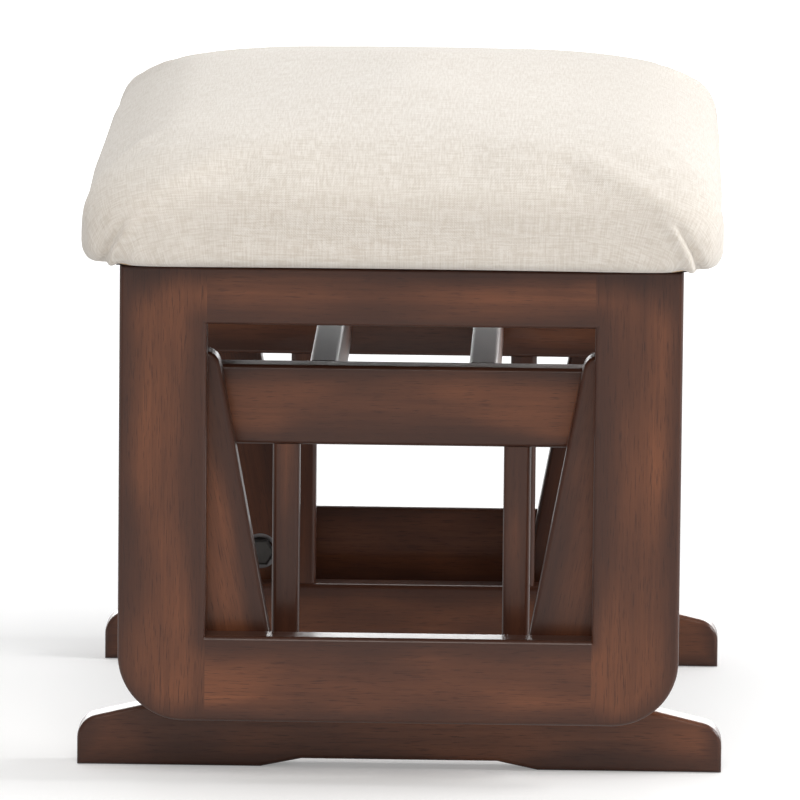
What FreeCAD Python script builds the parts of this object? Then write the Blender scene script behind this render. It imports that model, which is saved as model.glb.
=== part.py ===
import FreeCAD, Part
import math
import os
from FreeCAD import Vector

# Glider ottoman, in millimetres.
# A fixed base of two sled feet, posts, side rails and cross stretchers carries four swing links.
# The links hang a pair of square ring frames, which hold the seat board and its cushion.
# +Z is up, +X is the way the seat glides, and the origin lies on the floor under the middle.
# The right side is -Y, the left side is +Y, the front is +X and the rear is -X.

# Driving dimensions of the timber
board_thickness = 20.0
edge_chamfer = 1.8

# Sled feet
foot_length = 381.0
foot_height = 49.0
foot_toe_height = 30.0
foot_toe_radius = 14.0
foot_crest_length = 196.0
foot_crest_radius = 180.0
foot_relief_length = 164.0
foot_relief_slope = 24.0
foot_relief_depth = 5.0
foot_spacing = 330.8

# Posts and side rails of the base
post_width = 16.0
post_height = 144.5
post_spacing = 136.0
post_radius = 3.0
base_rail_length = 290.0
base_rail_height = 47.3

# Cross stretchers of the base
stretcher_width = 16.5
stretcher_height = 40.0
stretcher_spacing = 94.0
stretcher_radius = 2.5

# Ring frames that glide
ring_width = 328.4
ring_height = 270.3
ring_board_width = 51.1
ring_bottom_rail_height = 50.8
ring_top_rail_height = 34.9
ring_floor_gap = 37.7
ring_corner_radius = 39.0
link_bay_width = 34.6

# Swing links
link_width = 45.0
link_end_length = 30.0
link_corner_radius = 10.0
upper_pivot_spacing = 249.0
upper_pivot_drop = 19.8
lower_pivot_spacing = 190.4
lower_pivot_rise = 26.8

# Bearings and bolts of the pivots
bearing_outside = 22.0
bearing_width = 18.0
bearing_race_inside = 17.2
bolt_diameter = 10.0
bolt_depth_in_board = 13.0
bolt_head_width = 16.0
bolt_head_height = 5.0

# Stub tenons and their depths
post_tenon_width = 10.0
post_tenon_depth = 15.0
stretcher_tenon_thickness = 8.5
stretcher_tenon_height = 26.0
rail_tenon_thickness = 8.0
rail_tenon_share = 0.55
rail_tenon_depth = 24.0
cleat_tenon_thickness = 10.0
cleat_tenon_height = 20.0
side_tenon_depth = 13.0

# Seat
cleat_thickness = 20.0
cleat_spacing = 170.0
seat_board_inset = 15.0
seat_board_corner = 14.0
seat_board_thickness = 12.0
dust_cover_thickness = 0.8
dust_cover_margin = 6.0
screw_diameter = 6.0
screw_head_width = 10.0
screw_head_height = 4.0
screw_depth_in_board = 9.0
screw_slit = 7.0
screw_spacing = 280.0

# Cushion
cushion_length = 374.0
cushion_depth = 508.0
cushion_height = 85.5
cushion_lip = 1.5
cushion_lip_inset = 7.0
cushion_bulge_height = 15.5
cushion_wall_height = 28.5
cushion_roll_width = 32.0
cushion_roll_height = 35.0
cushion_roll_angles = (30.0, 60.0)
cushion_crown_step = 0.8
cushion_crest_rise = 1.5
cushion_side_draw = 5.0
cushion_corner_radius = 38.0
cover_thickness = 1.5
padding_corner = 14.0

# Clearances
running_clearance = 0.08
joinery_clearance = 0.05
face_clearance = 0.4
soft_clearance = 0.3
hole_end_gap = 1.0

# How near two places count as the same
same_place = 0.01

# Worked out from the driving dimensions
FRONT, REAR = 1, -1
LEFT, RIGHT = 1, -1
SIDES = {"right": RIGHT, "left": LEFT}
ENDS = {"front": FRONT, "rear": REAR}

base_plane = foot_spacing / 2
base_outer_face = base_plane + board_thickness / 2
base_inner_face = base_plane - board_thickness / 2
link_plane = base_outer_face + link_bay_width / 2
ring_inner_face = base_outer_face + link_bay_width
ring_plane = ring_inner_face + board_thickness / 2
bay_gap = (link_bay_width - board_thickness) / 2

base_rail_bottom = foot_height + post_height
base_rail_top = base_rail_bottom + base_rail_height
ring_top = ring_floor_gap + ring_height
window_length = ring_width - 2 * ring_board_width
window_bottom = ring_floor_gap + ring_bottom_rail_height
window_top = ring_top - ring_top_rail_height

upper_pivot_x = upper_pivot_spacing / 2
upper_pivot_z = base_rail_top - upper_pivot_drop
lower_pivot_x = lower_pivot_spacing / 2
lower_pivot_z = ring_floor_gap + lower_pivot_rise
link_run = upper_pivot_x - lower_pivot_x
link_drop = upper_pivot_z - lower_pivot_z
link_length = math.hypot(link_run, link_drop)
link_lean = math.degrees(math.atan2(link_run, link_drop))

cleat_bottom = window_top
cleat_top = ring_top
cleat_length = 2 * ring_inner_face
seat_board_length = cushion_length - 2 * seat_board_inset
seat_board_depth = cushion_depth - 2 * seat_board_inset
seat_board_bottom = ring_top + dust_cover_thickness
seat_board_top = seat_board_bottom + seat_board_thickness
cushion_bottom = ring_top + cushion_lip


def box(x_size, y_size, z_size, x, y, z):
    """A box centred at x and y that stands on z."""
    corner = Vector(x - x_size / 2, y - y_size / 2, z)
    return Part.makeBox(x_size, y_size, z_size, corner)


def stub(sizes, centre, clearance=0.0):
    """A rectangular stub tenon centred on its joint, or the mortise for it if given a clearance."""
    x_size, y_size, z_size = (size + 2 * clearance for size in sizes)
    return box(x_size, y_size, z_size, centre.x, centre.y, centre.z - z_size / 2)


def line(start, end):
    return Part.LineSegment(start, end).toShape()


def arc(start, middle, end):
    return Part.Arc(start, middle, end).toShape()


def plank(edges, y_plane):
    """A board whose outline lies in an XZ plane, centred on y_plane."""
    face = Part.Face(Part.Wire(Part.__sortEdges__(edges)))
    solid = face.extrude(Vector(0, board_thickness, 0))
    solid.translate(Vector(0, y_plane - board_thickness / 2, 0))
    return solid


def ease_outline(solid, y_plane):
    """Chamfer the outline edges of both broad faces of a plank."""
    edges = []
    for edge in solid.Edges:
        low, high = edge.BoundBox.YMin, edge.BoundBox.YMax
        flat = high - low < same_place
        on_face = abs(abs(low - y_plane) - board_thickness / 2) < same_place
        if flat and on_face:
            edges.append(edge)
    return solid.makeChamfer(edge_chamfer, edges)


def edges_along(solid, direction):
    """The straight edges of a solid that run along one direction."""
    found = []
    for edge in solid.Edges:
        ends = edge.Vertexes[1].Point - edge.Vertexes[0].Point
        if abs(abs(ends.dot(direction)) - edge.Length) < same_place:
            found.append(edge)
    return found


def rectangle_edges(x_low, x_high, z_low, z_high):
    corners = [Vector(x_low, 0, z_low), Vector(x_high, 0, z_low),
               Vector(x_high, 0, z_high), Vector(x_low, 0, z_high)]
    return [line(corners[i], corners[(i + 1) % 4]) for i in range(4)]


def rod(radius, length, start, direction):
    return Part.makeCylinder(radius, length, start, direction)


def sleeve(inner_radius, outer_radius, length, start, direction):
    """A plain ring with a square section."""
    bore = rod(inner_radius, length, start, direction)
    return rod(outer_radius, length, start, direction).cut(bore)


def hexagon(width, height, start, direction):
    """A hexagonal bolt head, measured across its flats, that stands on start."""
    corner = width / math.sqrt(3)
    points = [Vector(corner * math.cos(math.radians(60 * i)), corner * math.sin(math.radians(60 * i)), 0)
              for i in range(7)]
    head = Part.Face(Part.makePolygon(points)).extrude(Vector(0, 0, height))
    head.Placement = FreeCAD.Placement(start, FreeCAD.Rotation(Vector(0, 0, 1), direction))
    return head


def post_places():
    return [(end * post_spacing / 2, side * base_plane) for side in (RIGHT, LEFT) for end in (FRONT, REAR)]


def post_tenons(x, y, clearance=0.0):
    """The two upright tenons of one post, in the foot and in the side rail."""
    sizes = (post_tenon_width, post_tenon_width, 2 * post_tenon_depth)
    return [stub(sizes, Vector(x, y, z), clearance) for z in (foot_height, base_rail_bottom)]


def stretcher_tenon(end, side, clearance=0.0):
    """The tenon of one stretcher in one side rail."""
    sizes = (stretcher_tenon_thickness, 2 * side_tenon_depth, stretcher_tenon_height)
    centre = Vector(end * stretcher_spacing / 2, side * base_inner_face, base_rail_top - stretcher_height / 2)
    return stub(sizes, centre, clearance)


def rail_tenon(side, end, z_low, height, clearance=0.0):
    """The tenon of one ring rail in one stile."""
    sizes = (2 * rail_tenon_depth, rail_tenon_thickness, rail_tenon_share * height)
    return stub(sizes, Vector(end * window_length / 2, side * ring_plane, z_low + height / 2), clearance)


def cleat_tenon(end, side, clearance=0.0):
    """The tenon of one seat cleat in the top rail of one ring frame."""
    sizes = (cleat_tenon_thickness, 2 * side_tenon_depth, cleat_tenon_height)
    centre = Vector(end * cleat_spacing / 2, side * ring_inner_face, (cleat_bottom + cleat_top) / 2)
    return stub(sizes, centre, clearance)


def foot_edges(end):
    """The outline of one half of a foot, from its flat crest round the toe to the arch."""
    half = foot_length / 2
    crest = foot_crest_length / 2
    relief = foot_relief_length / 2
    toe_x = half - foot_toe_radius
    toe_z = foot_toe_height - foot_toe_radius
    reach = math.hypot(toe_x - crest, foot_height - toe_z)
    slope = math.atan2(foot_height - toe_z, toe_x - crest) - math.asin(foot_toe_radius / reach)
    blend = foot_crest_radius * math.tan(slope / 2)
    bend = foot_crest_radius * (1 - math.cos(slope / 2))
    flat_end = Vector(end * (crest - blend), 0, foot_height)
    crest_middle = Vector(end * (crest - blend + foot_crest_radius * math.sin(slope / 2)), 0,
                          foot_height - bend)
    slope_start = Vector(end * (crest + blend * math.cos(slope)), 0, foot_height - blend * math.sin(slope))
    toe_edges = [Vector(end * (toe_x + foot_toe_radius * math.sin(angle)), 0,
                        toe_z + foot_toe_radius * math.cos(angle))
                 for angle in (slope, (slope + math.pi / 2) / 2, math.pi / 2)]
    floor_point = Vector(end * half, 0, 0)
    relief_point = Vector(end * relief, 0, 0)
    arch_point = Vector(end * (relief - foot_relief_slope), 0, foot_relief_depth)
    return [line(Vector(0, 0, foot_height), flat_end), arc(flat_end, crest_middle, slope_start),
            line(slope_start, toe_edges[0]), arc(*toe_edges), line(toe_edges[2], floor_point),
            line(floor_point, relief_point), line(relief_point, arch_point),
            line(arch_point, Vector(0, 0, foot_relief_depth))]


def foot(side):
    """A sled foot: a crested runner with rounded toes, relieved under its middle."""
    y_plane = side * base_plane
    solid = plank(foot_edges(FRONT) + foot_edges(REAR), y_plane)
    solid = ease_outline(solid.removeSplitter(), y_plane)
    for x, y in post_places():
        if y == y_plane:
            solid = solid.cut(post_tenons(x, y, joinery_clearance)[0])
    return solid


def bolt_hole(x, z, y_face, direction):
    """The blind hole for the end of a pivot bolt, bored into a broad face."""
    radius = bolt_diameter / 2 + joinery_clearance
    return rod(radius, bolt_depth_in_board + hole_end_gap, Vector(x, y_face, z), Vector(0, direction, 0))


def base_rail(side):
    """The upper side rail of the base, mortised for posts and stretchers and bored for two pivots."""
    half = base_rail_length / 2
    y_plane = side * base_plane
    solid = plank(rectangle_edges(-half, half, base_rail_bottom, base_rail_top), y_plane)
    solid = ease_outline(solid, y_plane)
    cuts = [bolt_hole(end * upper_pivot_x, upper_pivot_z, side * base_outer_face, -side)
            for end in (FRONT, REAR)]
    cuts += [stretcher_tenon(end, side, joinery_clearance) for end in (FRONT, REAR)]
    cuts += [post_tenons(x, y, joinery_clearance)[1] for x, y in post_places() if y == y_plane]
    return solid.cut(Part.makeCompound(cuts))


def post(x, y):
    """A slim square post with rounded corners and a stub tenon at each end."""
    up = Vector(0, 0, 1)
    shaft = box(post_width, post_width, post_height, x, y, foot_height)
    shaft = shaft.makeFillet(post_radius, edges_along(shaft, up))
    return shaft.fuse(post_tenons(x, y))


def stretcher(end):
    """A cross stretcher between the side rails, flush with their tops."""
    bar = box(stretcher_width, 2 * base_inner_face, stretcher_height, end * stretcher_spacing / 2, 0,
              base_rail_top - stretcher_height)
    bar = bar.makeFillet(stretcher_radius, edges_along(bar, Vector(0, 1, 0)))
    return bar.fuse([stretcher_tenon(end, side) for side in (RIGHT, LEFT)])


def ring_blank(side):
    """One whole ring frame: round lower corners, a square window, eased outlines."""
    half = ring_width / 2
    radius = ring_corner_radius
    lift = radius * (1 - math.sin(math.radians(45)))
    outline = [line(Vector(-half, 0, ring_top), Vector(half, 0, ring_top)),
               line(Vector(-half + radius, 0, ring_floor_gap), Vector(half - radius, 0, ring_floor_gap))]
    for end in (FRONT, REAR):
        upper = Vector(end * half, 0, ring_floor_gap + radius)
        middle = Vector(end * (half - lift), 0, ring_floor_gap + lift)
        lower = Vector(end * (half - radius), 0, ring_floor_gap)
        outline.append(line(Vector(end * half, 0, ring_top), upper))
        outline.append(arc(upper, middle, lower))
    y_plane = side * ring_plane
    window = rectangle_edges(-window_length / 2, window_length / 2, window_bottom, window_top)
    blank = plank(outline, y_plane).cut(plank(window, y_plane))
    return ease_outline(blank, y_plane)


def ring_boards(side, side_name):
    """The four boards of one ring frame: full stiles with the rails tenoned between them."""
    blank = ring_blank(side)
    y_plane = side * ring_plane
    rails = {"bottom": (ring_floor_gap, ring_bottom_rail_height), "top": (window_top, ring_top_rail_height)}
    boards = {}
    for end_name, end in ENDS.items():
        x_middle = end * (ring_width - ring_board_width) / 2
        zone = box(ring_board_width, board_thickness, ring_height, x_middle, y_plane, ring_floor_gap)
        mortises = [rail_tenon(side, end, z_low, height, joinery_clearance)
                    for z_low, height in rails.values()]
        boards[f"{side_name}_ring_{end_name}_stile"] = blank.common(zone).cut(mortises)
    for level, (z_low, height) in rails.items():
        zone = box(window_length, board_thickness, height, 0, y_plane, z_low)
        rail = blank.common(zone).fuse([rail_tenon(side, end, z_low, height) for end in (FRONT, REAR)])
        if level == "bottom":
            cuts = [bolt_hole(end * lower_pivot_x, lower_pivot_z, side * ring_inner_face, side)
                    for end in (FRONT, REAR)]
        else:
            cuts = [cleat_tenon(end, side, joinery_clearance) for end in (FRONT, REAR)]
        boards[f"{side_name}_ring_{level}_rail"] = rail.cut(cuts)
    return boards


def link(end, side):
    """A swing link that leans outwards to its upper pivot, bored for a bearing at each end."""
    total = link_length + 2 * link_end_length
    y_plane = side * link_plane
    across = Vector(0, 1, 0)
    bar = box(link_width, board_thickness, total, 0, y_plane, -link_length - link_end_length)
    bar = bar.makeFillet(link_corner_radius, edges_along(bar, across))
    bar = ease_outline(bar, y_plane)
    for distance in (0, -link_length):
        start = Vector(0, y_plane - board_thickness / 2, distance)
        bar = bar.cut(rod(bearing_outside / 2 + joinery_clearance, board_thickness, start, across))
    bar.rotate(Vector(0, 0, 0), across, end * link_lean)
    bar.translate(Vector(end * upper_pivot_x, 0, upper_pivot_z))
    return bar


def pivot_places(level):
    """Each pivot of one level as (end, side, x, z, y of the fixed face, way from it to the link)."""
    places = []
    for side in (RIGHT, LEFT):
        for end in (FRONT, REAR):
            if level == "upper":
                places.append((end, side, end * upper_pivot_x, upper_pivot_z, side * base_outer_face, side))
            else:
                places.append((end, side, end * lower_pivot_x, lower_pivot_z, side * ring_inner_face, -side))
    return places


def bearing(x, z, y_face, way, is_open):
    """One sealed bearing; without its balls and inner ring where the pivot is open."""
    inner_radius = bearing_race_inside / 2 if is_open else bolt_diameter / 2 + running_clearance
    distance = bay_gap + (board_thickness - bearing_width) / 2
    start = Vector(x, y_face + way * distance, z)
    return sleeve(inner_radius, bearing_outside / 2, bearing_width, start, Vector(0, way, 0))


def link_bearings(end, side):
    """The two bearings pressed into one link."""
    rings = []
    for level in ("upper", "lower"):
        for place_end, place_side, x, z, y_face, way in pivot_places(level):
            if (place_end, place_side) == (end, side):
                rings.append(bearing(x, z, y_face, way, level == "lower" and end == REAR))
    return Part.makeCompound(rings)


def pivot_bolt(x, z, y_face, way):
    """A hexagon-head pivot bolt, screwed into the fixed board and passed through the link."""
    direction = Vector(0, way, 0)
    reach = bay_gap + board_thickness + face_clearance
    tip = Vector(x, y_face - way * bolt_depth_in_board, z)
    shank = rod(bolt_diameter / 2, bolt_depth_in_board + reach, tip, direction)
    head = hexagon(bolt_head_width, bolt_head_height, Vector(x, y_face + way * reach, z), direction)
    return shank.fuse(head)


def pivot_bolts(level):
    bolts = [pivot_bolt(x, z, y_face, way) for _, _, x, z, y_face, way in pivot_places(level)]
    return Part.makeCompound(bolts)


def screw_places():
    return [Vector(end * cleat_spacing / 2, side * screw_spacing / 2, cleat_bottom)
            for end in (FRONT, REAR) for side in (RIGHT, LEFT)]


def screw_hole(place):
    """The hole of one seat screw, from under its cleat into the seat board."""
    length = seat_board_bottom - cleat_bottom + screw_depth_in_board + hole_end_gap
    return rod(screw_diameter / 2 + joinery_clearance, length, place, Vector(0, 0, 1))


def seat_cleat(end):
    """A cross cleat between the two ring frames, bored for the seat screws."""
    bar = box(cleat_thickness, cleat_length, cleat_top - cleat_bottom,
              end * cleat_spacing / 2, 0, cleat_bottom)
    bar = bar.makeChamfer(edge_chamfer, edges_along(bar, Vector(0, 1, 0)))
    bar = bar.fuse([cleat_tenon(end, side) for side in (RIGHT, LEFT)])
    return bar.cut([screw_hole(place) for place in screw_places() if place.x * end > 0])


def seat_screws():
    """Hexagon-head wood screws driven up through the cleats into the seat board."""
    shank_length = seat_board_bottom - cleat_bottom + screw_depth_in_board
    shapes = []
    for place in screw_places():
        shank = rod(screw_diameter / 2, shank_length, place, Vector(0, 0, 1))
        shapes.append(shank.fuse(hexagon(screw_head_width, screw_head_height, place, Vector(0, 0, -1))))
    return Part.makeCompound(shapes)


def slab(x_size, y_size, thickness, corner_cut, z):
    """A level board or cloth with its corners cut off."""
    blank = box(x_size, y_size, thickness, 0, 0, z)
    return blank.makeChamfer(corner_cut, edges_along(blank, Vector(0, 0, 1)))


def seat_board():
    """The plywood board under the cushion."""
    board = slab(seat_board_length, seat_board_depth, seat_board_thickness,
                 seat_board_corner, seat_board_bottom)
    return board.cut([screw_hole(place) for place in screw_places()])


def dust_cover():
    """The thin cloth stapled over the underside of the seat board, slit for the screws."""
    cloth = slab(seat_board_length - 2 * dust_cover_margin, seat_board_depth - 2 * dust_cover_margin,
                 dust_cover_thickness, seat_board_corner, ring_top)
    slits = [box(screw_slit, screw_slit, dust_cover_thickness, place.x, place.y, ring_top)
             for place in screw_places()]
    return cloth.cut(slits)


def cushion_section(inset, z):
    """A rounded rectangle whose sides are drawn in a little between its corners."""
    half_x = cushion_length / 2 - inset
    half_y = cushion_depth / 2 - inset
    radius = cushion_corner_radius
    diagonal = radius * (1 - math.sin(math.radians(45)))
    edges = []
    for sx, sy in ((1, 1), (-1, 1), (-1, -1), (1, -1)):
        along_x = Vector(sx * (half_x - radius), sy * half_y, z)
        along_y = Vector(sx * half_x, sy * (half_y - radius), z)
        middle = Vector(sx * (half_x - diagonal), sy * (half_y - diagonal), z)
        if sx * sy > 0:
            edges.append(arc(along_y, middle, along_x))
            far = Vector(-sx * (half_x - radius), sy * half_y, z)
            edges.append(arc(along_x, Vector(0, sy * (half_y - cushion_side_draw), z), far))
        else:
            edges.append(arc(along_x, middle, along_y))
            far = Vector(sx * half_x, -sy * (half_y - radius), z)
            edges.append(arc(along_y, Vector(sx * (half_x - cushion_side_draw), 0, z), far))
    return Part.Wire(edges)


def cushion_levels():
    """The cushion's upright profile as (height over its lip, inset), from the lip to the crown's edge."""
    levels = [(0.0, cushion_lip_inset), (cushion_bulge_height, 0.0), (cushion_wall_height, 0.0)]
    for angle in cushion_roll_angles:
        levels.append((cushion_wall_height + cushion_roll_height * math.sin(math.radians(angle)),
                       cushion_roll_width * (1 - math.cos(math.radians(angle)))))
    return levels


def crown_vault(shrink):
    """Two level cylinders crossed at right angles; what they share bounds the crown from above.

    The one that bounds the long way tops out a little higher, so that their crests don't touch.
    """
    edge_height, edge_inset = cushion_levels()[-1]
    cylinders = []
    for size, direction, rise in ((cushion_length, Vector(0, 1, 0), 0.0),
                                  (cushion_depth, Vector(1, 0, 0), cushion_crest_rise)):
        half = size / 2 - edge_inset
        sag = cushion_height + rise - edge_height - cushion_crown_step
        radius = (half ** 2 + sag ** 2) / (2 * sag)
        middle = Vector(0, 0, cushion_bottom + cushion_height + rise - radius)
        start = middle - direction * cushion_depth
        cylinders.append(rod(radius - shrink, 2 * cushion_depth, start, direction))
    return cylinders[0].common(cylinders[1])


def cushion_outside():
    """The whole cushion: a loft from its lip up the roll of its edges, closed by the crown."""
    wires = [cushion_section(inset, cushion_bottom + height) for height, inset in cushion_levels()]
    edge_height, _ = cushion_levels()[-1]
    block = Part.Face(wires[-1]).extrude(Vector(0, 0, cushion_height - edge_height))
    return Part.makeLoft(wires, True, True).fuse(block.common(crown_vault(0)))


def padding_form(shrink):
    """The space inside the cover, or the foam that fills it, drawn in all round by shrink."""
    low_inset = cushion_lip_inset + cushion_side_draw + shrink
    high_inset = cushion_levels()[-1][1] + cushion_side_draw + shrink
    low = slab(cushion_length - 2 * low_inset, cushion_depth - 2 * low_inset, cushion_wall_height - shrink,
               padding_corner, cushion_bottom)
    high = slab(cushion_length - 2 * high_inset, cushion_depth - 2 * high_inset, cushion_height,
                padding_corner, cushion_bottom)
    return low.fuse(high.common(crown_vault(shrink)))


def cushion_cover():
    """The fabric cover, open underneath where it is turned under the seat board."""
    return cushion_outside().cut(padding_form(cover_thickness))


def cushion_foam():
    """The foam pad, which laps over the edges of the seat board."""
    foam = padding_form(cover_thickness + soft_clearance)
    pocket = slab(seat_board_length + 2 * soft_clearance, seat_board_depth + 2 * soft_clearance,
                  seat_board_thickness + soft_clearance, seat_board_corner, seat_board_bottom)
    return foam.cut(pocket)


def base_nodes():
    """Everything that stands still: feet, posts, rails, stretchers and the upper bolts."""
    nodes = {}
    for side_name, side in SIDES.items():
        nodes[f"{side_name}_foot"] = foot(side)
        nodes[f"{side_name}_base_rail"] = base_rail(side)
        for end_name, end in ENDS.items():
            nodes[f"{end_name}_{side_name}_post"] = post(end * post_spacing / 2, side * base_plane)
    for end_name, end in ENDS.items():
        nodes[f"{end_name}_stretcher"] = stretcher(end)
    nodes["upper_pivot_bolts"] = pivot_bolts("upper")
    return nodes


def link_nodes():
    """The four swing links with their bearings."""
    nodes = {}
    for side_name, side in SIDES.items():
        for end_name, end in ENDS.items():
            nodes[f"{end_name}_{side_name}_link"] = link(end, side)
            nodes[f"{end_name}_{side_name}_link_bearings"] = link_bearings(end, side)
    return nodes


def seat_nodes():
    """Everything that glides apart from the links: ring frames, cleats, board and cushion."""
    nodes = {}
    for side_name, side in SIDES.items():
        nodes.update(ring_boards(side, side_name))
    for end_name, end in ENDS.items():
        nodes[f"{end_name}_seat_cleat"] = seat_cleat(end)
    nodes["lower_pivot_bolts"] = pivot_bolts("lower")
    nodes["seat_screws"] = seat_screws()
    nodes["dust_cover"] = dust_cover()
    nodes["seat_board"] = seat_board()
    nodes["cushion_foam"] = cushion_foam()
    nodes["cushion_cover"] = cushion_cover()
    return nodes


def main():
    os.makedirs("parts", exist_ok=True)
    nodes = {}
    nodes.update(base_nodes())
    nodes.update(link_nodes())
    nodes.update(seat_nodes())
    for name, shape in nodes.items():
        shape.exportStep(f"parts/{name}.step")
        state = "valid" if shape.isValid() else "INVALID"
        print(name, len(shape.Solids), "solids", round(shape.Volume), "mm3", state)
    print("link length", round(link_length, 2), "lean", round(link_lean, 3))


main()
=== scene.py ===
import logging
import math
from dataclasses import dataclass
from enum import Enum
from typing import Any, Iterable

import bmesh
import bpy
import numpy as np
from mathutils import Matrix, Vector


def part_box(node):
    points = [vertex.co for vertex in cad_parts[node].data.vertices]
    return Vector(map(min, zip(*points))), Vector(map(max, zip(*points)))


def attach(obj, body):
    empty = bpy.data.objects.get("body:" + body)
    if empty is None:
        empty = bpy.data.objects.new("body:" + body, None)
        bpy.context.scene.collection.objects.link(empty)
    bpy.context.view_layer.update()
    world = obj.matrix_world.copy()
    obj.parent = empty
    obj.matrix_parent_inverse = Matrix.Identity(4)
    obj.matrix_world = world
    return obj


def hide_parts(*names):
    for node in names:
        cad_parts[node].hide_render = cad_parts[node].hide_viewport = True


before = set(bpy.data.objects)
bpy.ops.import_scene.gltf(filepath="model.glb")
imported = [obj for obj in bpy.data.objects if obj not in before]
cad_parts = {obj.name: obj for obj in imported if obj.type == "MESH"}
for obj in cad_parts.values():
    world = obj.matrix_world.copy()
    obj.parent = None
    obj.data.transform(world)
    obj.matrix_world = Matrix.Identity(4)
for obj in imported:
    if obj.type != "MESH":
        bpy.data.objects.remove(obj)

log = logging.getLogger("glider_ottoman")
MM = 0.001
Point = tuple[float, float, float]
Colour = tuple[float, float, float]
Pair = tuple[float, float]
Socket = bpy.types.NodeSocket
Piece = bpy.types.Object
ORIGIN: Point = (0.0, 0.0, 0.0)
IN_PLANE: Point = (1.0, 0.0, 1.0)
WHITE: Colour = (1.0, 1.0, 1.0)
SIDES = ("right", "left")
ENDS = ("front", "rear")


class Grain(Enum):
    """The way the wood's grain runs in a board."""

    ALONG_X = "along x"
    ALONG_Y = "along y"
    UPRIGHT = "upright"
    FRONT_LINK = "leaning to the front"
    REAR_LINK = "leaning to the rear"


@dataclass(frozen=True)
class Mottle:
    """A layer of noise: how fine it is along each axis, per metre, and how broken up it is."""

    fineness: Point
    detail: float = 2.0
    roughness: float = 0.5
    distortion: float = 0.0


@dataclass(frozen=True)
class Bump:
    """How strongly a height pattern shows, and how deep it is in metres."""

    strength: float
    depth: float


class Wiring:
    """Adds nodes to one node tree and joins them."""

    def __init__(self, tree: bpy.types.NodeTree) -> None:
        """Keep the tree that the nodes go into."""
        self.tree = tree

    def feed(self, socket: Socket, value: Any) -> None:
        """Join a socket to another, or give it a plain value.

        Args:
            socket: the input to feed.
            value: a socket, a plain value, or None to leave the input as it is.
        """
        if isinstance(value, bpy.types.NodeSocket):
            self.tree.links.new(value, socket)
        elif value is not None:
            socket.default_value = value

    def node(self, kind: str, inputs: dict[Any, Any] | None = None, **settings: Any) -> bpy.types.Node:
        """Make one node.

        Args:
            kind: the node's Blender type.
            inputs: values or sockets for its inputs, by name or number.
            settings: properties of the node.

        Returns:
            The new node.
        """
        made = self.tree.nodes.new(kind)
        for name, value in settings.items():
            setattr(made, name, value)
        for key, value in (inputs or {}).items():
            self.feed(made.inputs[key], value)
        return made

    def math(self, operation: str, *values: Any) -> Socket:
        """One Math node's result."""
        return self.node("ShaderNodeMath", dict(enumerate(values)), operation=operation).outputs[0]

    def vector(self, operation: str, *values: Any) -> Socket:
        """One Vector Math node's result: a number for LENGTH, otherwise a vector."""
        made = self.node("ShaderNodeVectorMath", dict(enumerate(values)), operation=operation)
        return made.outputs["Value" if operation == "LENGTH" else "Vector"]

    def scaled(self, vector: Any, factors: Any) -> Socket:
        """A vector multiplied by three factors."""
        return self.vector("MULTIPLY", vector, factors)

    def combined(self, x: Any = None, y: Any = None, z: Any = None) -> Socket:
        """A vector put together from its parts."""
        return self.node("ShaderNodeCombineXYZ", {0: x, 1: y, 2: z}).outputs[0]

    def parts(self, vector: Any) -> bpy.types.NodeOutputs:
        """A vector's three parts."""
        return self.node("ShaderNodeSeparateXYZ", {0: vector}).outputs

    def place(self) -> Socket:
        """The shaded point in the part's own frame."""
        return self.node("ShaderNodeTexCoord").outputs["Object"]

    def stretch(self, value: Any, low: float, high: float, to_low: float = 0.0,
                to_high: float = 1.0) -> Socket:
        """A value moved smoothly from one range to another.

        Args:
            value: the socket to read.
            low: the value that gives to_low.
            high: the value that gives to_high.
            to_low: result at low.
            to_high: result at high.

        Returns:
            The result's socket.
        """
        inputs = {"Value": value, "From Min": low, "From Max": high, "To Min": to_low, "To Max": to_high}
        return self.node("ShaderNodeMapRange", inputs, interpolation_type="SMOOTHSTEP").outputs["Result"]

    def spread(self, value: Any, width: float) -> Socket:
        """A value from 0 to 1, moved to lie around zero and to span a width."""
        return self.math("MULTIPLY", self.math("SUBTRACT", value, 0.5), width)

    def mix(self, factor: Any, first: Any, second: Any) -> Socket:
        """Two colours mixed by a factor.

        Args:
            factor: the share of the second colour.
            first: a colour, or a socket that gives one.
            second: the other colour.

        Returns:
            The mixed colour.
        """
        inputs = {0: factor}
        for number, colour in ((6, first), (7, second)):
            inputs[number] = (*colour, 1.0) if isinstance(colour, tuple) else colour
        return self.node("ShaderNodeMix", inputs, data_type="RGBA").outputs[2]

    def tinted(self, colour: Any, mask: Socket, share: float, towards: Colour) -> Socket:
        """A colour moved towards another one by a share of a mask."""
        return self.mix(self.math("MULTIPLY", mask, share), colour, towards)

    def noise(self, vector: Any, layer: Mottle, scale: Any = 1.0, output: str = "Fac") -> Socket:
        """One layer of noise.

        Args:
            vector: where it is read.
            layer: its fineness and its form.
            scale: a further factor on its fineness.
            output: Fac for a value, Color for three.

        Returns:
            The noise.
        """
        inputs = {"Vector": self.scaled(vector, layer.fineness), "Scale": scale, "Detail": layer.detail,
                  "Roughness": layer.roughness, "Distortion": layer.distortion}
        return self.node("ShaderNodeTexNoise", inputs).outputs[output]


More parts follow.
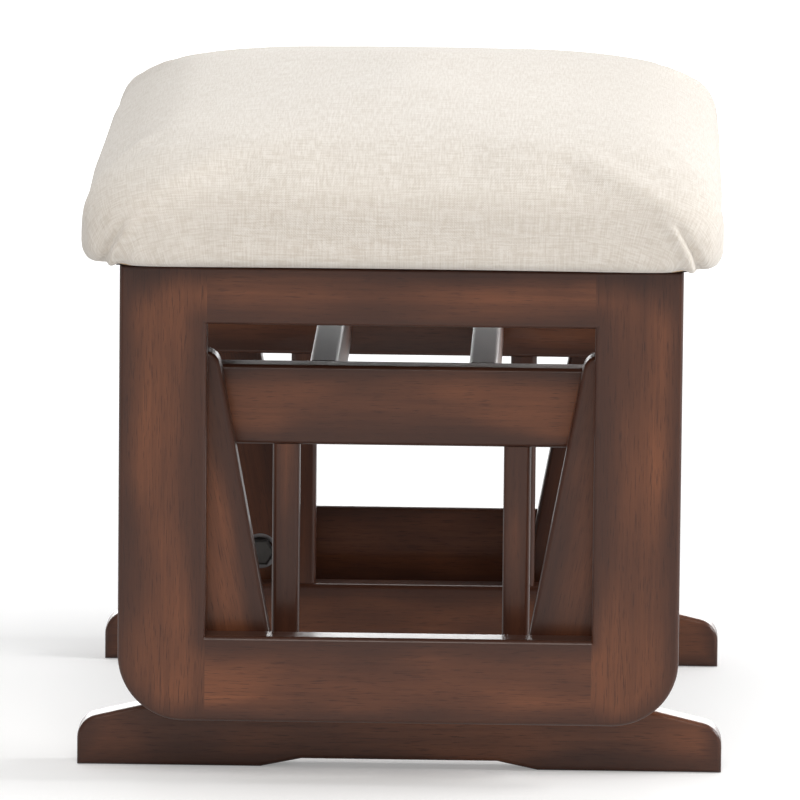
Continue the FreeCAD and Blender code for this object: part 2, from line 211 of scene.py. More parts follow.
class EffectGroup:
    """A shader node group with named inputs and outputs, built once."""

    def __init__(self, name: str, inputs: dict[str, Any], outputs: Iterable[str]) -> None:
        """Make the group's tree and its sockets.

        Args:
            name: the group's name.
            inputs: each input's name with its first value, whose type picks the socket.
            outputs: the name of each output, all of them plain numbers.
        """
        self.tree = bpy.data.node_groups.new(name, "ShaderNodeTree")
        for label, value in inputs.items():
            kind = "NodeSocketFloat" if isinstance(value, float) else "NodeSocketVector"
            socket = self.tree.interface.new_socket(label, in_out="INPUT", socket_type=kind)
            socket.default_value = value
        for label in outputs:
            self.tree.interface.new_socket(label, in_out="OUTPUT", socket_type="NodeSocketFloat")
        self.wiring = Wiring(self.tree)
        self.source = self.wiring.node("NodeGroupInput").outputs
        self.result = self.wiring.node("NodeGroupOutput").inputs

    def put(self, label: str, socket: Socket) -> None:
        """Join one of the group's outputs."""
        self.wiring.feed(self.result[label], socket)

    def place(self, wiring: Wiring, values: dict[str, Any]) -> bpy.types.NodeOutputs:
        """Place the group in another tree and return its outputs."""
        return wiring.node("ShaderNodeGroup", values, node_tree=self.tree).outputs


@dataclass(frozen=True)
class WoodGrain:
    """Wood grain along X: slow figure, fine streaks and pores."""

    bend: Mottle = Mottle((5.0, 9.0, 9.0))
    bend_reach: Point = (0.0, 0.02, 0.02)
    figure: Mottle = Mottle((2.2, 30.0, 30.0), 4.0, 0.55, 0.6)
    streaks: Mottle = Mottle((14.0, 420.0, 420.0), 4.0, 0.6)
    pores: Mottle = Mottle((95.0, 2100.0, 2100.0))
    figure_range: Pair = (0.28, 0.72)
    streak_range: Pair = (0.25, 0.75)
    pore_range: Pair = (0.56, 0.70)
    streak_height: float = 0.25
    pore_depth: float = 0.5

    def group(self) -> EffectGroup:
        """The group, which gives Figure, Streaks, Pores and Height.

        Returns:
            The finished group.
        """
        group = EffectGroup("wood_grain", {"Vector": ORIGIN, "Figure Scale": 1.0},
                            ("Figure", "Streaks", "Pores", "Height"))
        w, place = group.wiring, group.source["Vector"]
        bent = w.vector("ADD", place, w.scaled(w.noise(place, self.bend, output="Color"), self.bend_reach))
        figure = w.noise(bent, self.figure, group.source["Figure Scale"])
        streaks = w.noise(place, self.streaks)
        pits = w.stretch(w.noise(place, self.pores), *self.pore_range)
        group.put("Figure", w.stretch(figure, *self.figure_range))
        group.put("Streaks", w.stretch(streaks, *self.streak_range))
        group.put("Pores", pits)
        group.put("Height", w.math("SUBTRACT", w.math("MULTIPLY", streaks, self.streak_height),
                                   w.math("MULTIPLY", pits, self.pore_depth)))
        return group


def edge_distance_group() -> EffectGroup:
    """How far a point lies from a board's outline, or from the window in a ring frame.

    Returns:
        The group, which gives Distance in metres.
    """
    group = EffectGroup("outline_distance",
                        {"Vector": ORIGIN, "Centre": ORIGIN, "Half": (1.0, 1.0, 1.0), "Corner": 0.0,
                         "Window Centre": ORIGIN, "Window Half": ORIGIN}, ("Distance",))
    w, source = group.wiring, group.source

    def beyond(centre: str, half: str) -> Socket:
        """How far the point lies outside a rectangle, along each axis.

        Args:
            centre: the name of the input with its centre.
            half: the name of the input with half its size.

        Returns:
            The distances, below zero inside.
        """
        from_middle = w.vector("ABSOLUTE", w.scaled(w.vector("SUBTRACT", source["Vector"], source[centre]),
                                                    IN_PLANE))
        return w.vector("SUBTRACT", from_middle, w.scaled(source[half], IN_PLANE))

    def outside(over: Socket) -> Socket:
        """The straight distance for parts that are zero inside."""
        return w.vector("LENGTH", w.vector("MAXIMUM", over, ORIGIN))

    over = w.vector("ADD", beyond("Centre", "Half"), w.combined(source["Corner"], None, source["Corner"]))
    parts = w.parts(over)
    inner = w.math("MINIMUM", w.math("MAXIMUM", parts[0], parts[2]), 0.0)
    inside = w.math("SUBTRACT", source["Corner"], w.math("ADD", inner, outside(over)))
    group.put("Distance", w.math("MINIMUM", inside, outside(beyond("Window Centre", "Window Half"))))
    return group


@dataclass(frozen=True)
class LinenWeave:
    """A plain linen weave with slubs, read from a cloth's own flat coordinates in metres."""

    wobble: Mottle = Mottle((60.0, 60.0, 60.0))
    wobble_reach: Point = (0.0008, 0.0008, 0.0)
    warp_slubs: Mottle = Mottle((900.0, 60.0, 1.0), 3.0, 0.6)
    weft_slubs: Mottle = Mottle((60.0, 900.0, 1.0), 3.0, 0.6)
    flecks: Mottle = Mottle((320.0, 320.0, 1.0), 2.0, 0.7)
    slub_range: Pair = (0.38, 0.62)
    fleck_range: Pair = (0.50, 0.72)
    thread_height: float = 0.18

    def group(self) -> EffectGroup:
        """The group, which gives Tone, Fleck and Height.

        Returns:
            The finished group.
        """
        group = EffectGroup("linen_weave", {"Vector": ORIGIN, "Threads": 1100.0}, ("Tone", "Fleck", "Height"))
        w, place = group.wiring, group.source["Vector"]
        wobble = w.scaled(w.noise(place, self.wobble, output="Color"), self.wobble_reach)
        parts = w.parts(w.vector("ADD", place, wobble))
        turns = w.math("MULTIPLY", group.source["Threads"], math.pi)
        warp, weft = (w.math("SINE", w.math("MULTIPLY", parts[axis], turns)) for axis in (0, 1))
        slubs = w.math("MULTIPLY", w.math("ADD", w.noise(place, self.warp_slubs),
                                          w.noise(place, self.weft_slubs)), 0.5)
        threads = w.math("MULTIPLY", w.math("MULTIPLY", warp, weft), self.thread_height)
        group.put("Tone", w.stretch(slubs, *self.slub_range))
        group.put("Fleck", w.stretch(w.noise(place, self.flecks), *self.fleck_range))
        group.put("Height", w.math("ADD", threads, slubs))
        return group


class Effects:
    """The shared shader groups, each built once."""

    def __init__(self) -> None:
        """Build every group."""
        self.grain = WoodGrain().group()
        self.edges = edge_distance_group()
        self.weave = LinenWeave().group()


def empty_material(name: str) -> tuple[bpy.types.Material, Wiring]:
    """A material that has no nodes yet, and the wiring of its tree.

    Args:
        name: the material's name.

    Returns:
        The material and its wiring.
    """
    material = bpy.data.materials.new(name)
    material.use_nodes = True
    material.node_tree.nodes.clear()
    return material, Wiring(material.node_tree)


class Surface(Wiring):
    """A material around one Principled shader."""

    def __init__(self, name: str) -> None:
        """Make the material, its shader and its output.

        Args:
            name: the material's name.
        """
        self.material, wiring = empty_material(name)
        super().__init__(wiring.tree)
        self.shader = self.node("ShaderNodeBsdfPrincipled")
        self.node("ShaderNodeOutputMaterial", {"Surface": self.shader.outputs[0]})

    def dress(self, inputs: dict[str, Any], height: Socket, bump: Bump) -> bpy.types.Material:
        """Feed the shader and give it a relief.

        Args:
            inputs: the shader's sockets and plain values, by name.
            height: the pattern that stands up.
            bump: how strongly it shows, and how deep it is.

        Returns:
            The finished material.
        """
        relief = self.node("ShaderNodeBump", {"Height": height, "Strength": bump.strength,
                                              "Distance": bump.depth})
        for name, value in {**inputs, "Normal": relief.outputs[0]}.items():
            self.feed(self.shader.inputs[name], value)
        return self.material


@dataclass(frozen=True)
class Outline:
    """The rectangle that a board's edges follow, with its window if it has one."""

    centre: Point
    half: Point
    corner: float = 0.0
    window_centre: Point = (0.0, 0.0, 10.0)
    window_half: Point = ORIGIN


@dataclass(frozen=True)
class WalnutLacquer:
    """Dark walnut stain under lacquer, warmer in blotches towards the middle of each board, with painted
    shade darkening it towards its edges.
    """

    # shade is the dark of the grain's figure, streaks and pores, and also the colour of the painted shade
    # along each board's edges.
    shade: Colour = (0.030, 0.0110, 0.0075)
    body: Colour = (0.132, 0.0450, 0.0205)
    warm: Colour = (0.240, 0.0820, 0.0340)
    board_step: Point = (0.731, 0.377, 0.153)
    blotch: Mottle = Mottle((9.0, 22.0, 22.0))
    blotch_range: Pair = (0.36, 0.66)
    warm_share: float = 0.75
    figure_share: float = 0.38
    streak_share: float = 0.30
    pore_share: float = 0.55
    # The painted edge shade: how much it darkens, how wide its band is and how much its inner edge wanders.
    painted_edge_shade_share: float = 0.62
    painted_edge_shade_width: float = 0.019
    painted_edge_shade_wander: float = 0.030
    roughness: float = 0.36
    roughness_spread: float = 0.16
    specular: float = 0.30
    coat: float = 0.22
    coat_roughness: float = 0.13
    bump: Bump = Bump(0.25, 0.0004)

    def material(self, name: str, effects: Effects, turn: Matrix, outline: Outline, follows_outline: bool,
                 seed: int) -> bpy.types.Material:
        """The finish for one board.

        Args:
            name: the material's name.
            effects: the shared groups.
            turn: turns the part's frame so that X runs along the grain.
            outline: what the painted edge shade follows.
            follows_outline: True where the outline is in the part's frame, False where it is in the board's.
            seed: picks the board's own stretch of grain.

        Returns:
            The material.
        """
        w = Surface(name)
        place = w.place()
        board = w.node("ShaderNodeMapping", {"Vector": place, "Rotation": turn.to_euler("XYZ")[:]}).outputs[0]
        shift = tuple(step * seed for step in self.board_step)
        grain = effects.grain.place(w, {"Vector": w.vector("ADD", board, shift), "Figure Scale": 1.0})
        edge = effects.edges.place(w, {"Vector": place if follows_outline else board,
                                       "Centre": outline.centre, "Half": outline.half,
                                       "Corner": outline.corner,
                                       "Window Centre": outline.window_centre,
                                       "Window Half": outline.window_half})["Distance"]
        blotch = w.noise(board, self.blotch)
        # Painted shade: each board darkens within a band along its outline, and a ring frame along its window
        # too; the warm blotches fade out there as well.
        painted_edge_shade = w.stretch(w.math("ADD", edge, w.spread(blotch, self.painted_edge_shade_wander)),
                            0.0, self.painted_edge_shade_width, 1.0, 0.0)
        warmth = w.math("MULTIPLY", w.stretch(blotch, *self.blotch_range), w.math("SUBTRACT", 1.0, painted_edge_shade))
        colour = w.tinted(self.body, warmth, self.warm_share, self.warm)
        # Figure, streaks and pores are the grain's own dark; the last mask lays on the painted edge shade.
        for mask, share in ((grain["Figure"], self.figure_share), (grain["Streaks"], self.streak_share),
                            (grain["Pores"], self.pore_share), (painted_edge_shade, self.painted_edge_shade_share)):
            colour = w.tinted(colour, mask, share, self.shade)
        rough = w.math("ADD", self.roughness, w.spread(blotch, self.roughness_spread))
        return w.dress({"Base Color": colour, "Roughness": rough, "Specular IOR Level": self.specular,
                        "Coat Weight": self.coat, "Coat Roughness": self.coat_roughness},
                       grain["Height"], self.bump)


@dataclass(frozen=True)
class LinenCloth:
    """Oatmeal linen upholstery cloth, with slubs and paler and darker threads."""

    light: Colour = (0.722, 0.680, 0.626)
    dark: Colour = (0.594, 0.538, 0.473)
    fleck: Colour = (0.480, 0.420, 0.350)
    fleck_share: float = 0.26
    threads: float = 1250.0
    worn: Mottle = Mottle((7.0, 7.0, 1.0))
    worn_range: Pair = (0.3, 0.7)
    worn_share: float = 0.12
    roughness: float = 0.92
    sheen: float = 0.25
    sheen_roughness: float = 0.5
    specular: float = 0.2
    bump: Bump = Bump(0.5, 0.0006)

    def material(self, name: str, effects: Effects) -> bpy.types.Material:
        """The cloth's material, which reads the piece's own map of flat cloth.

        Args:
            name: the material's name.
            effects: the shared groups.

        Returns:
            The material.
        """
        w = Surface(name)
        flat = w.node("ShaderNodeUVMap", uv_map="cloth").outputs[0]
        weave = effects.weave.place(w, {"Vector": flat, "Threads": self.threads})
        colour = w.mix(weave["Tone"], self.dark, self.light)
        colour = w.tinted(colour, weave["Fleck"], self.fleck_share, self.fleck)
        worn = w.stretch(w.noise(flat, self.worn), *self.worn_range, 0.0, self.worn_share)
        return w.dress({"Base Color": w.mix(worn, colour, self.light), "Roughness": self.roughness,
                        "Sheen Weight": self.sheen, "Sheen Roughness": self.sheen_roughness,
                        "Specular IOR Level": self.specular}, weave["Height"], self.bump)


@dataclass(frozen=True)
class DullMetal:
    """Plated or bare steel, with fine scratches and slightly uneven tone."""

    # The default colour, which only the bolts and screws take, is darkened far below bright plated steel as
    # painted shade, so their heads sink into the shade around them.
    colour: Colour = (0.13, 0.125, 0.12)
    roughness: float = 0.50
    cloud: Mottle = Mottle((90.0, 90.0, 90.0), 3.0, 0.6)
    cloud_shade: float = 0.72
    scratch: Mottle = Mottle((300.0, 4000.0, 300.0), 2.0, 0.6)
    roughness_spread: float = 0.3
    bump: Bump = Bump(0.08, 0.0002)

    def material(self, name: str) -> bpy.types.Material:
        """The metal's material.

        Args:
            name: the material's name.

        Returns:
            The material.
        """
        w = Surface(name)
        place = w.place()
        scratch = w.noise(place, self.scratch)
        dull = tuple(channel * self.cloud_shade for channel in self.colour)
        rough = w.math("ADD", self.roughness, w.spread(scratch, self.roughness_spread))
        colour = w.mix(w.noise(place, self.cloud), self.colour, dull)
        return w.dress({"Base Color": colour, "Roughness": rough, "Metallic": 1.0}, scratch, self.bump)


@dataclass(frozen=True)
class Plywood:
    """Bare plywood: pale faces with soft figure and darker glue lines on the edges."""

    pale: Colour = (0.60, 0.43, 0.26)
    dark: Colour = (0.36, 0.22, 0.12)
    figure_scale: float = 0.8
    figure_share: float = 0.6
    ply: float = 0.0024
    line_width: float = 0.18
    line_share: float = 0.35
    roughness: float = 0.72
    bump: Bump = Bump(0.2, 0.0004)

    def material(self, name: str, effects: Effects) -> bpy.types.Material:
        """The board's material.

        Args:
            name: the material's name.
            effects: the shared groups.

        Returns:
            The material.
        """
        w = Surface(name)
        place = w.place()
        grain = effects.grain.place(w, {"Vector": place, "Figure Scale": self.figure_scale})
        layer = w.math("PINGPONG", w.parts(place)[2], self.ply)
        colour = w.tinted(self.pale, grain["Figure"], self.figure_share, self.dark)
        line = w.stretch(layer, 0.0, self.ply * self.line_width, self.line_share, 0.0)
        return w.dress({"Base Color": w.mix(line, colour, self.dark), "Roughness": self.roughness},
                       grain["Height"], self.bump)


@dataclass(frozen=True)
class DustCloth:
    """Black non-woven cloth with its dimpled bond marks."""

    colour: Colour = (0.018, 0.018, 0.019)
    fibre_shade: float = 2.6
    fibres: Mottle = Mottle((700.0, 700.0, 700.0), 3.0, 0.7)
    fibre_range: Pair = (0.35, 0.75)
    cells: float = 520.0
    roughness: float = 0.95
    bump: Bump = Bump(0.4, 0.0005)

    def material(self, name: str) -> bpy.types.Material:
        """The cloth's material.

        Args:
            name: the material's name.

        Returns:
            The material.
        """
        w = Surface(name)
        place = w.place()
        cells = w.node("ShaderNodeTexVoronoi", {"Vector": place, "Scale": self.cells}).outputs["Distance"]
        pale = tuple(channel * self.fibre_shade for channel in self.colour)
        fibres = w.stretch(w.noise(place, self.fibres), *self.fibre_range)
        return w.dress({"Base Color": w.mix(fibres, self.colour, pale), "Roughness": self.roughness},
                       cells, self.bump)


def placed(name: str, data: bpy.types.ID) -> Piece:
    """A new object around a mesh, camera or lamp, in the scene.

    Args:
        name: the object's name.
        data: what it holds.

    Returns:
        The object.
    """
    made = bpy.data.objects.new(name, data)
    bpy.context.scene.collection.objects.link(made)
    return made


def mesh_of(name: str, points: Iterable[Any], edges: Iterable[Any] = (), faces: Iterable[Any] = ()) -> Piece:
    """A new object from points, edges and faces.

    Args:
        name: its name.
        points: the places of its points.
        edges: pairs of points.
        faces: rings of points.

    Returns:
        The object.
    """
    mesh = bpy.data.meshes.new(name)
    mesh.from_pydata(list(points), list(edges), list(faces))
    return placed(name, mesh)


def from_work(name: str, work: bmesh.types.BMesh) -> Piece:
    """A new object from a finished working mesh, which is then freed.

    Args:
        name: its name.
        work: the working mesh.

    Returns:
        The object.
    """
    mesh = bpy.data.meshes.new(name)
    work.to_mesh(mesh)
    work.free()
    return placed(name, mesh)


def baked(piece: Piece) -> Piece:
    """Turn a piece's live modifiers into its own mesh.

    Args:
        piece: the object.

    Returns:
        The same object.
    """
    graph = bpy.context.evaluated_depsgraph_get()
    graph.update()
    mesh = bpy.data.meshes.new_from_object(piece.evaluated_get(graph), depsgraph=graph)
    piece.modifiers.clear()
    piece.data = mesh
    return piece


def smooth(piece: Piece, sharp_degrees: float) -> Piece:
    """Shade a piece smooth, except across edges that bend more than an angle.

    Args:
        piece: the object.
        sharp_degrees: the angle.

    Returns:
        The same object.
    """
    piece.data.shade_smooth()
    piece.data.set_sharp_from_angle(angle=math.radians(sharp_degrees))
    return piece


def points_of(mesh: bpy.types.Mesh) -> np.ndarray:
    """A mesh's points, one row each."""
    return np.array([vertex.co for vertex in mesh.vertices])


def move_points(mesh: bpy.types.Mesh, points: np.ndarray) -> None:
    """Put a mesh's points where the rows say."""
    mesh.vertices.foreach_set("co", points.astype(np.float32).ravel())
    mesh.update()


def paint(mesh: bpy.types.Mesh, material: bpy.types.Material) -> None:
    """Give a mesh this one material."""
    mesh.materials.clear()
    mesh.materials.append(material)


def set_down(piece: Piece, body: str, material: bpy.types.Material,
             nodes: Iterable[str] = ()) -> None:
    """Give a piece its material and its body, and hide the nodes that it stands for.

    Args:
        piece: the finished object.
        body: the CAD body that it rides on.
        material: its finish.
        nodes: the CAD nodes that it replaces.
    """
    paint(piece.data, material)
    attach(piece, body)
    if nodes:
        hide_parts(*nodes)
    log.info("%s rides on %s", piece.name, body)


@dataclass(frozen=True)
class Board:
    """One wooden board of the frame: its node, its body and the way of its grain."""

    node: str
    body: str
    grain: Grain
    in_ring: bool = False


@dataclass
class Joinery:
    """Every wooden board, with its chamfers rounded over as the real ones are sanded."""

    effects: Effects
    finish: WalnutLacquer = WalnutLacquer()
    top_coated: WalnutLacquer = WalnutLacquer(roughness=0.55, specular=1.0, coat=1.0, coat_roughness=0.45)
    link_lean: float = math.radians(10.604)
    rounding: float = 0.9 * MM
    rounding_steps: int = 3
    merge_distance: float = 0.01 * MM
    least_bend: float = math.radians(25)
    most_bend: float = math.radians(60)
    flat_angle: float = math.radians(1)
    sharp_degrees: float = 38.0
    ring_corner: float = 39.0 * MM

    def boards(self) -> list[Board]:
        """Every board of the base, the links and the ring frames.

        Returns:
            The boards, in the order in which they are made.
        """
        found = []
        for side in SIDES:
            found.append(Board(f"{side}_foot", "base", Grain.ALONG_X))
            found.append(Board(f"{side}_base_rail", "base", Grain.ALONG_X))
            for end, lean in zip(ENDS, (Grain.FRONT_LINK, Grain.REAR_LINK)):
                found.append(Board(f"{end}_{side}_post", "base", Grain.UPRIGHT))
                found.append(Board(f"{end}_{side}_link", f"{end}_{side}_swing_link", lean))
                found.append(Board(f"{side}_ring_{end}_stile", "seat", Grain.UPRIGHT, True))
            for level in ("bottom", "top"):
                found.append(Board(f"{side}_ring_{level}_rail", "seat", Grain.ALONG_X, True))
        for end in ENDS:
            found.append(Board(f"{end}_stretcher", "base", Grain.ALONG_Y))
            found.append(Board(f"{end}_seat_cleat", "seat", Grain.ALONG_Y))
        return found

    def turn(self, grain: Grain) -> Matrix:
        """The turn that lays a board's grain along X and its width along Z.

        Args:
            grain: the way of the grain.

        Returns:
            The turn.
        """
        if grain is Grain.UPRIGHT:
            return Matrix(((0, 0, 1), (0, 1, 0), (-1, 0, 0)))
        if grain is Grain.ALONG_Y:
            return Matrix(((0, 1, 0), (-1, 0, 0), (0, 0, 1)))
        if grain is Grain.ALONG_X:
            return Matrix.Identity(3)
        lean = self.link_lean if grain is Grain.FRONT_LINK else -self.link_lean
        return Matrix(((math.sin(lean), 0, math.cos(lean)), (0, 1, 0), (-math.cos(lean), 0, math.sin(lean))))

    def rounded(self, node: str) -> Piece:
        """A copy of a CAD board with its chamfered edges rounded over.

        Args:
            node: the CAD node's name.

        Returns:
            The new object.
        """
        work = bmesh.new()
        work.from_mesh(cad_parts[node].data)
        bmesh.ops.remove_doubles(work, verts=work.verts, dist=self.merge_distance)
        bmesh.ops.dissolve_limit(work, angle_limit=self.flat_angle, verts=work.verts, edges=work.edges)
        eased = [edge for edge in work.edges
                 if len(edge.link_faces) == 2 and self.least_bend < edge.calc_face_angle() < self.most_bend
                 and edge.is_convex]
        bmesh.ops.bevel(work, geom=eased, offset=self.rounding, segments=self.rounding_steps, profile=0.5,
                        affect="EDGES", clamp_overlap=True)
        piece = smooth(from_work(f"{node}_board", work), self.sharp_degrees)
        piece.modifiers.new("even shading", "WEIGHTED_NORMAL").keep_sharp = True
        return baked(piece)

    def ring_outline(self, side: str) -> Outline:
        """One ring frame's own outline, with its window.

        Args:
            side: right or left.

        Returns:
            The outline, in the part's frame.
        """
        front, rear = (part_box(f"{side}_ring_{end}_stile") for end in ENDS)
        low, high = rear[0], front[1]
        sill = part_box(f"{side}_ring_bottom_rail")[1].z
        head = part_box(f"{side}_ring_top_rail")[0].z
        middle = (low.z + high.z) / 2
        return Outline((0.0, 0.0, middle), (high.x, 1.0, high.z - middle), self.ring_corner,
                       (0.0, 0.0, (sill + head) / 2), (front[0].x, 1.0, (head - sill) / 2))

    def outline(self, board: Board, turn: Matrix) -> Outline:
        """The outline that a board's painted edge shade follows.

        Args:
            board: the board.
            turn: its turn into the grain's frame.

        Returns:
            The ring frame's own outline for a ring board, or the board's rectangle.
        """
        if board.in_ring:
            return self.ring_outline(board.node.split("_")[0])
        turned = np.array([turn @ vertex.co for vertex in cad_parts[board.node].data.vertices])
        low, high = turned.min(0), turned.max(0)
        return Outline(tuple(map(float, (low + high) / 2)), tuple(map(float, (high - low) / 2)))

    def build(self) -> None:
        """Round over, finish and set down every board."""
        for number, board in enumerate(self.boards()):
            turn = self.turn(board.grain)
            finish = self.top_coated if board.node.endswith("stretcher") else self.finish
            material = finish.material(f"walnut_{board.node}", self.effects, turn, self.outline(board, turn),
                                       board.in_ring, number + 1)
            set_down(self.rounded(board.node), board.body, material, [board.node])


def ramp(value: np.ndarray, reach: float) -> np.ndarray:
    """Rises from 0 to 1 over a reach, and stays there."""
    return np.clip(value / reach, 0.0, 1.0)


def fading(value: np.ndarray, reach: float) -> np.ndarray:
    """Falls from 1 to 0 over a reach, and stays there."""
    return np.clip(1.0 - value / reach, 0.0, 1.0)


def bell(value: np.ndarray, middle: float, width: float) -> np.ndarray:
    """A rounded hump of height 1 around a middle."""
    return np.exp(-((value - middle) / width) ** 2)


@dataclass(frozen=True)
class Pleats:
    """The fold in the cloth beside each lower corner, and the ear that stands out past it.

    The lip and the second fold lie a few pleat widths further in than the groove.
    """

    reach: float = 31.0 * MM
    depth: float = 5.6 * MM
    width: float = 2.3 * MM
    foot: float = 1.5 * MM
    fade: float = 0.6
    drift_levels: Point = (0.0, 0.4, 1.0)
    drift: Point = (13.0 * MM, 16.5 * MM, 27.0 * MM)
    face_reach: float = 26.0 * MM
    face_fade: float = 0.5
    lip_place: float = 2.1
    lip_width: float = 1.3
    lip_share: float = 0.42
    second_place: float = 5.2
    second_width: float = 1.6
    second_share: float = 0.35
    ear_swell: float = 3.4 * MM
    ear_from_end: float = 5.0 * MM
    ear_width: float = 9.0 * MM
    ear_level: float = 10.0 * MM
    ear_height: float = 11.0 * MM
    ear_face_reach: float = 50.0 * MM

    def push(self, rise: np.ndarray, from_end: np.ndarray, from_face: np.ndarray) -> np.ndarray:
        """How far each point of the cloth stands out.

        Args:
            rise: its height over the pad's underside.
            from_end: its distance from the pad's end.
            from_face: its distance from the pad's long face.

        Returns:
            The distances, below zero in the folds.
        """
        levels = [share * self.reach for share in self.drift_levels]
        across = from_end - np.interp(rise, levels, self.drift)
        fade = fading(rise, self.reach) ** self.fade * ramp(rise, self.foot)
        outer = fading(from_face, self.face_reach) ** self.face_fade
        groove = bell(across, 0.0, self.width)
        lip = bell(across, self.lip_place * self.width, self.lip_width * self.width)
        second = bell(across, self.second_place * self.width, self.second_width * self.width)
        ear = bell(from_end, self.ear_from_end, self.ear_width) * bell(rise, self.ear_level, self.ear_height)
        push = outer * fade * (self.lip_share * self.depth * lip - self.depth * groove
                               - self.depth * (second * self.second_share))
        return push + ear * self.ear_swell * fading(from_face, self.ear_face_reach)


